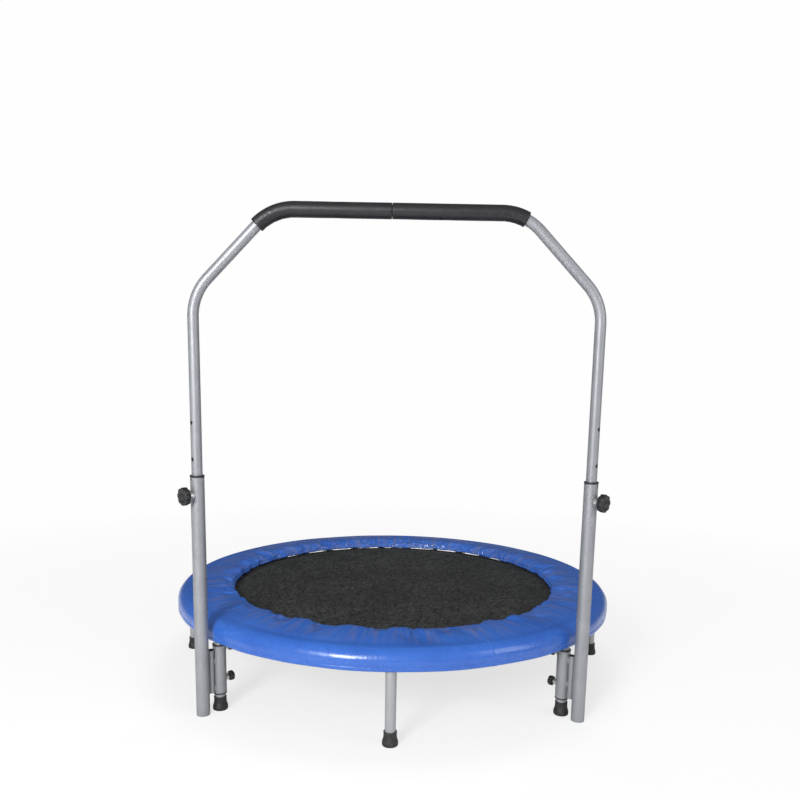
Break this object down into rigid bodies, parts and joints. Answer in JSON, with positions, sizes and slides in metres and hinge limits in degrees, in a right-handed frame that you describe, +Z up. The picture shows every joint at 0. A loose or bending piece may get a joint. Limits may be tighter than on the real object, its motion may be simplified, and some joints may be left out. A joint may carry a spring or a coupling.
{
  "type": "mini trampoline",
  "caption": "Round fitness trampoline on short rubber-footed legs, with a padded spring cover and a height-adjustable U-shaped handlebar with foam grips.",
  "frame": {"origin": "on the floor under the middle of the mat", "axes": "+Z up, +X to the right of a viewer who faces the handlebar, -Y towards that viewer"},
  "size_m": [1.0299, 1.03, 0.9965],
  "materials": {
    "frame_paint": "silver-grey powder coat, satin",
    "leg_plating": "light silver-grey powder coat, satin",
    "zinc_steel": "zinc plated, slightly dull",
    "foot_rubber": "matt moulded rubber",
    "mat_weave": "tightly woven polypropylene",
    "hem_webbing": "flat polypropylene webbing with stitching",
    "blue_vinyl": "glossy vinyl-coated cloth, gathered",
    "pad_foam": "closed-cell foam sheet",
    "elastic": "braided elastic cord",
    "black_plastic": "moulded, low sheen",
    "grip_foam": "skinned foam tube, satin"
  },
  "bodies": {
    "frame": {"frame_ring": "frame_paint", "leg_bosses": "frame_paint", "leg_inserts": "zinc_steel", "leg_front": "leg_plating", "leg_front_right": "leg_plating", "leg_right": "leg_plating", "leg_rear_right": "leg_plating", "leg_rear": "leg_plating", "leg_rear_left": "leg_plating", "leg_left": "leg_plating", "leg_front_left": "leg_plating", "foot_front": "foot_rubber", "foot_front_right": "foot_rubber", "foot_right": "foot_rubber", "foot_rear_right": "foot_rubber", "foot_rear": "foot_rubber", "foot_rear_left": "foot_rubber", "foot_left": "foot_rubber", "foot_front_left": "foot_rubber", "springs": "zinc_steel", "pad_cover": "blue_vinyl", "pad_foam": "pad_foam", "pad_elastic": "elastic", "clamp_sleeve_left": "frame_paint", "clamp_sleeve_right": "frame_paint", "sleeve_collars": "black_plastic", "link_tubes": "frame_paint", "link_caps": "black_plastic", "bracket_welds": "frame_paint", "clamp_nuts": "zinc_steel", "height_nuts": "zinc_steel", "post_left": "frame_paint", "post_right": "frame_paint", "post_bush_left": "black_plastic", "post_bush_right": "black_plastic", "post_plugs": "black_plastic"},
    "mat": {"jumping_mat": "mat_weave", "mat_hem": "hem_webbing", "mat_rings": "zinc_steel"},
    "handlebar": {"bar_half_left": "frame_paint", "bar_half_right": "frame_paint", "bar_joiner": "zinc_steel", "foam_grip_left": "grip_foam", "foam_grip_right": "grip_foam"},
    "height_stud_left": {"height_stud_left": "zinc_steel"},
    "height_knob_left": {"height_knob_left": "black_plastic"},
    "clamp_stud_lower_left": {"clamp_stud_lower_left": "zinc_steel"},
    "clamp_knob_lower_left": {"clamp_knob_lower_left": "black_plastic"},
    "clamp_stud_upper_left": {"clamp_stud_upper_left": "zinc_steel"},
    "clamp_knob_upper_left": {"clamp_knob_upper_left": "black_plastic"},
    "height_stud_right": {"height_stud_right": "zinc_steel"},
    "height_knob_right": {"height_knob_right": "black_plastic"},
    "clamp_stud_lower_right": {"clamp_stud_lower_right": "zinc_steel"},
    "clamp_knob_lower_right": {"clamp_knob_lower_right": "black_plastic"},
    "clamp_stud_upper_right": {"clamp_stud_upper_right": "zinc_steel"},
    "clamp_knob_upper_right": {"clamp_knob_upper_right": "black_plastic"}
  },
  "joints": [
    {"name": "mat_bounce", "type": "slide", "parent": "frame", "child": "mat", "axis": [0, 0, 1], "range_m": [-0.1, 0], "stiffness_N_per_m": 5000, "springref_m": 0.001, "deforming": ["springs"]},
    {"name": "bar_height", "type": "slide", "parent": "frame", "child": "handlebar", "axis": [0, 0, 1], "range_m": [-0.14, 0.14]},
    {"name": "height_screw_left", "type": "slide", "parent": "frame", "child": "height_stud_left", "axis": [-0.7071, -0.7071, 0], "range_m": [-0.0038, 0.0013]},
    {"name": "height_knob_left_turn", "type": "hinge", "parent": "height_stud_left", "child": "height_knob_left", "pos_m": [-0.40164, -0.40164, 0.451], "axis": [-0.7071, -0.7071, 0], "range_deg": [-1080, 360]},
    {"name": "clamp_screw_lower_left", "type": "slide", "parent": "frame", "child": "clamp_stud_lower_left", "axis": [0.7071, 0.7071, 0], "range_m": [0, 0.0026]},
    {"name": "clamp_knob_lower_left_turn", "type": "hinge", "parent": "clamp_stud_lower_left", "child": "clamp_knob_lower_left", "pos_m": [-0.33411, -0.33411, 0.065], "axis": [0.7071, 0.7071, 0], "range_deg": [0, 900]},
    {"name": "clamp_screw_upper_left", "type": "slide", "parent": "frame", "child": "clamp_stud_upper_left", "axis": [0.7071, 0.7071, 0], "range_m": [0, 0.0026]},
    {"name": "clamp_knob_upper_left_turn", "type": "hinge", "parent": "clamp_stud_upper_left", "child": "clamp_knob_upper_left", "pos_m": [-0.33411, -0.33411, 0.131], "axis": [0.7071, 0.7071, 0], "range_deg": [0, 900]},
    {"name": "height_screw_right", "type": "slide", "parent": "frame", "child": "height_stud_right", "axis": [0.7071, -0.7071, 0], "range_m": [-0.0038, 0.0013]},
    {"name": "height_knob_right_turn", "type": "hinge", "parent": "height_stud_right", "child": "height_knob_right", "pos_m": [0.40164, -0.40164, 0.451], "axis": [0.7071, -0.7071, 0], "range_deg": [-1080, 360]},
    {"name": "clamp_screw_lower_right", "type": "slide", "parent": "frame", "child": "clamp_stud_lower_right", "axis": [-0.7071, 0.7071, 0], "range_m": [0, 0.0026]},
    {"name": "clamp_knob_lower_right_turn", "type": "hinge", "parent": "clamp_stud_lower_right", "child": "clamp_knob_lower_right", "pos_m": [0.33411, -0.33411, 0.065], "axis": [-0.7071, 0.7071, 0], "range_deg": [0, 900]},
    {"name": "clamp_screw_upper_right", "type": "slide", "parent": "frame", "child": "clamp_stud_upper_right", "axis": [-0.7071, 0.7071, 0], "range_m": [0, 0.0026]},
    {"name": "clamp_knob_upper_right_turn", "type": "hinge", "parent": "clamp_stud_upper_right", "child": "clamp_knob_upper_right", "pos_m": [0.33411, -0.33411, 0.131], "axis": [-0.7071, 0.7071, 0], "range_deg": [0, 900]}
  ],
  "couplings": [
    {"joint": "height_screw_left", "follows": "height_knob_left_turn", "m_per_rad": 0.00019894},
    {"joint": "clamp_screw_lower_left", "follows": "clamp_knob_lower_left_turn", "m_per_rad": 0.00015915},
    {"joint": "clamp_screw_upper_left", "follows": "clamp_knob_upper_left_turn", "m_per_rad": 0.00015915},
    {"joint": "height_screw_right", "follows": "height_knob_right_turn", "m_per_rad": 0.00019894},
    {"joint": "clamp_screw_lower_right", "follows": "clamp_knob_lower_right_turn", "m_per_rad": 0.00015915},
    {"joint": "clamp_screw_upper_right", "follows": "clamp_knob_upper_right_turn", "m_per_rad": 0.00015915}
  ]
}
